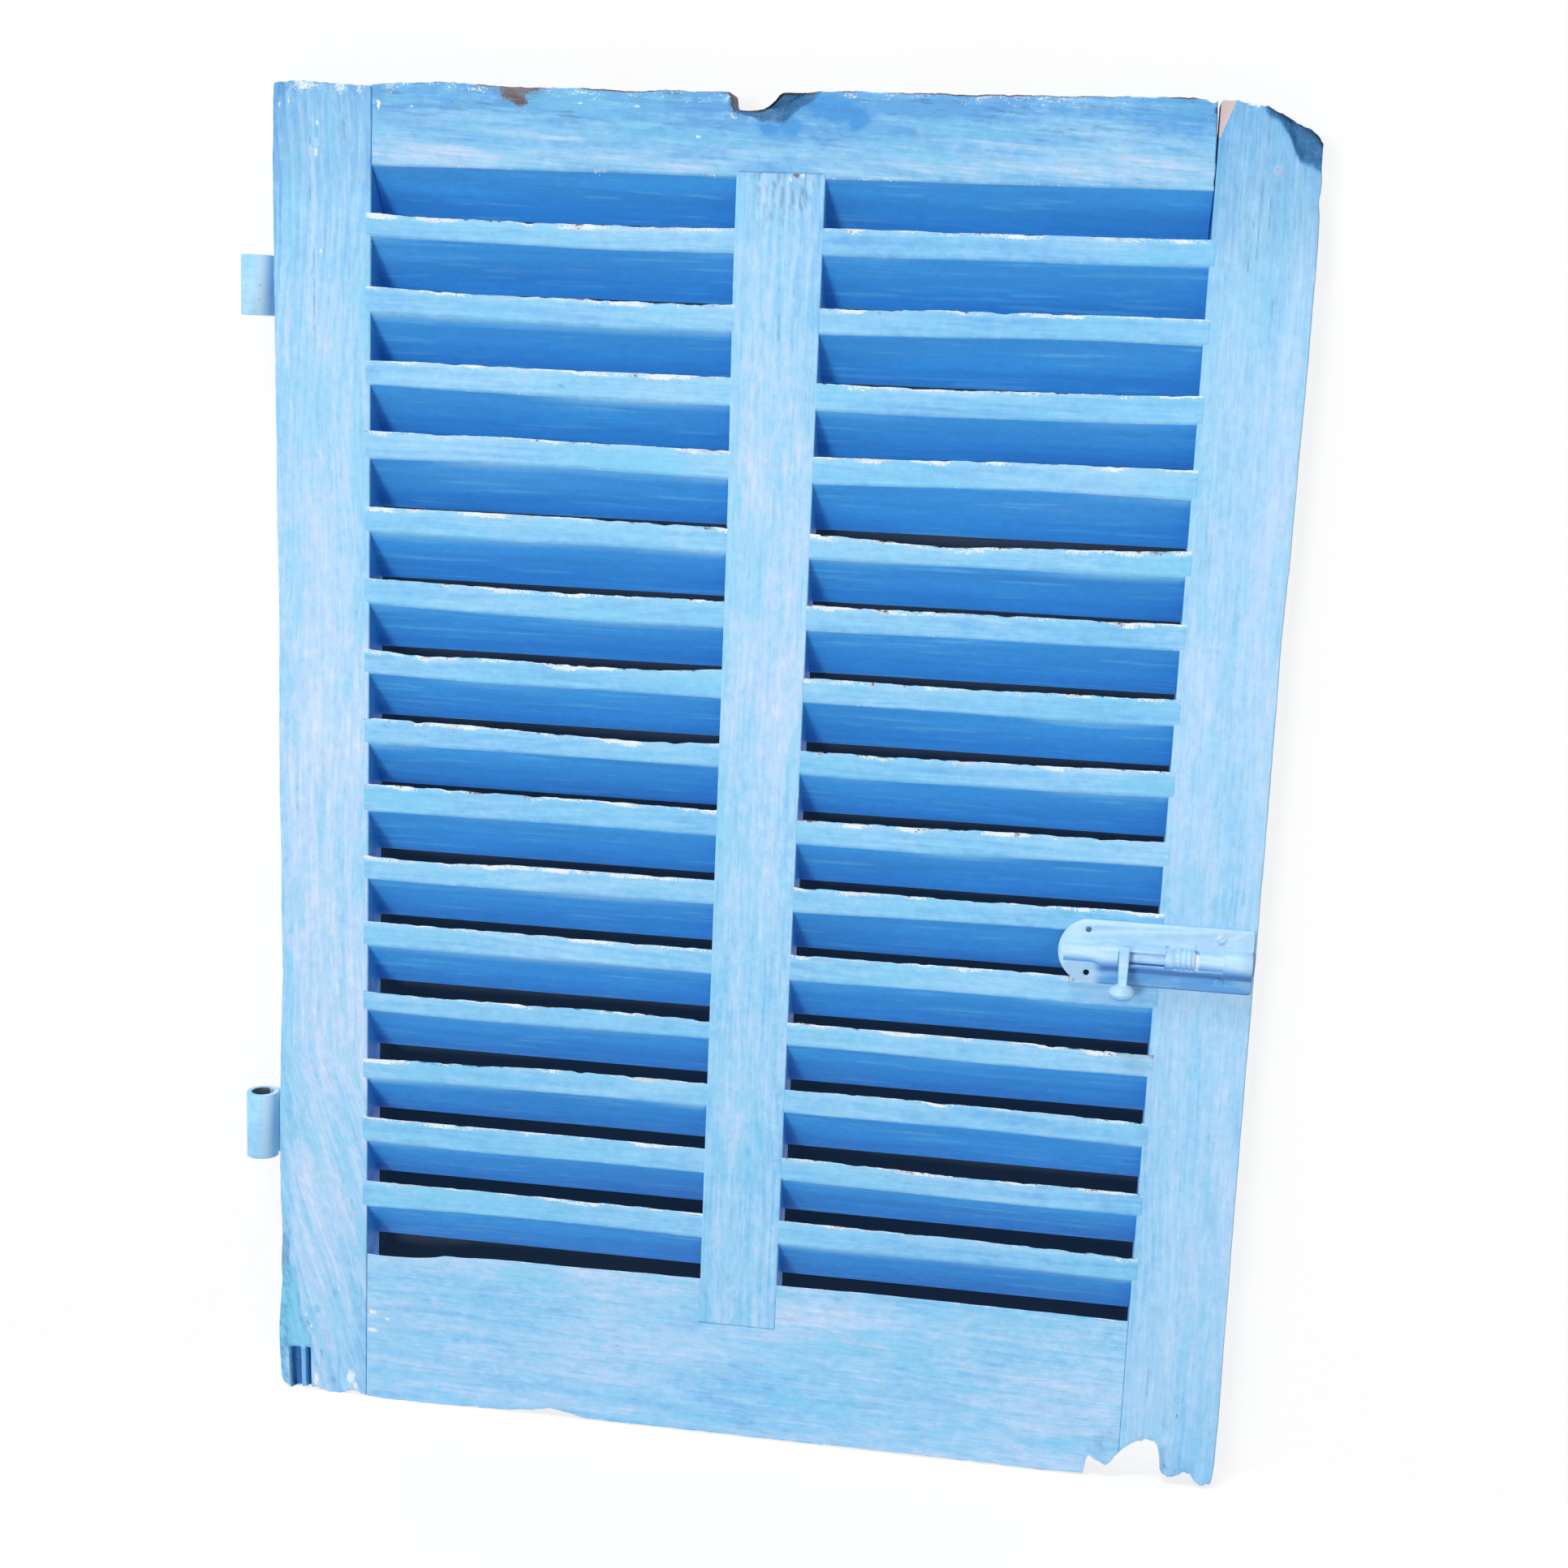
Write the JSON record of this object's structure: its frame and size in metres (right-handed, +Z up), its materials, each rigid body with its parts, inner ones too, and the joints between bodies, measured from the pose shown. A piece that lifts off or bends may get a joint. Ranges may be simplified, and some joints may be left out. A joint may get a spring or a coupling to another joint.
{
  "type": "louvered shutter",
  "caption": "Wooden louvered window shutter leaf with fixed sloping slats in two bays, rolled hinge eyes and a barrel bolt that slides.",
  "frame": {"origin": "on the hinge axis, at the bottom face of the lower hinge eye", "axes": "+X from the hinge side to the lock side, +Y outdoors, +Z up along the hinge axis"},
  "size_m": [0.7642, 0.0623, 0.9983],
  "materials": {
    "painted_frame_wood": "chalky worn paint",
    "painted_slat_wood": "chalky worn paint",
    "painted_hinge_iron": "thick brushed paint",
    "painted_bolt_iron": "thick brushed paint",
    "worn_bolt_iron": "paint worn by sliding"
  },
  "bodies": {
    "leaf": {"hinge_stile": "painted_frame_wood", "lock_stile": "painted_frame_wood", "top_rail": "painted_frame_wood", "bottom_rail": "painted_frame_wood", "mullion": "painted_frame_wood", "left_slat_01": "painted_slat_wood", "left_slat_02": "painted_slat_wood", "left_slat_03": "painted_slat_wood", "left_slat_04": "painted_slat_wood", "left_slat_05": "painted_slat_wood", "left_slat_06": "painted_slat_wood", "left_slat_07": "painted_slat_wood", "left_slat_08": "painted_slat_wood", "left_slat_09": "painted_slat_wood", "left_slat_10": "painted_slat_wood", "left_slat_11": "painted_slat_wood", "left_slat_12": "painted_slat_wood", "left_slat_13": "painted_slat_wood", "left_slat_14": "painted_slat_wood", "left_slat_15": "painted_slat_wood", "right_slat_01": "painted_slat_wood", "right_slat_02": "painted_slat_wood", "right_slat_03": "painted_slat_wood", "right_slat_04": "painted_slat_wood", "right_slat_05": "painted_slat_wood", "right_slat_06": "painted_slat_wood", "right_slat_07": "painted_slat_wood", "right_slat_08": "painted_slat_wood", "right_slat_09": "painted_slat_wood", "right_slat_10": "painted_slat_wood", "right_slat_11": "painted_slat_wood", "right_slat_12": "painted_slat_wood", "right_slat_13": "painted_slat_wood", "right_slat_14": "painted_slat_wood", "right_slat_15": "painted_slat_wood", "top_left_peg": "painted_frame_wood", "bottom_left_peg": "painted_frame_wood", "top_right_peg": "painted_frame_wood", "bottom_right_peg": "painted_frame_wood", "upper_hinge": "painted_hinge_iron", "lower_hinge": "painted_hinge_iron", "bolt_plate": "painted_bolt_iron"},
    "bolt": {"bolt_rod": "worn_bolt_iron", "bolt_handle": "worn_bolt_iron"}
  },
  "joints": [
    {"name": "bolt_slide", "type": "slide", "parent": "leaf", "child": "bolt", "axis": [1, 0, 0], "range_m": [0, 0.02]}
  ]
}
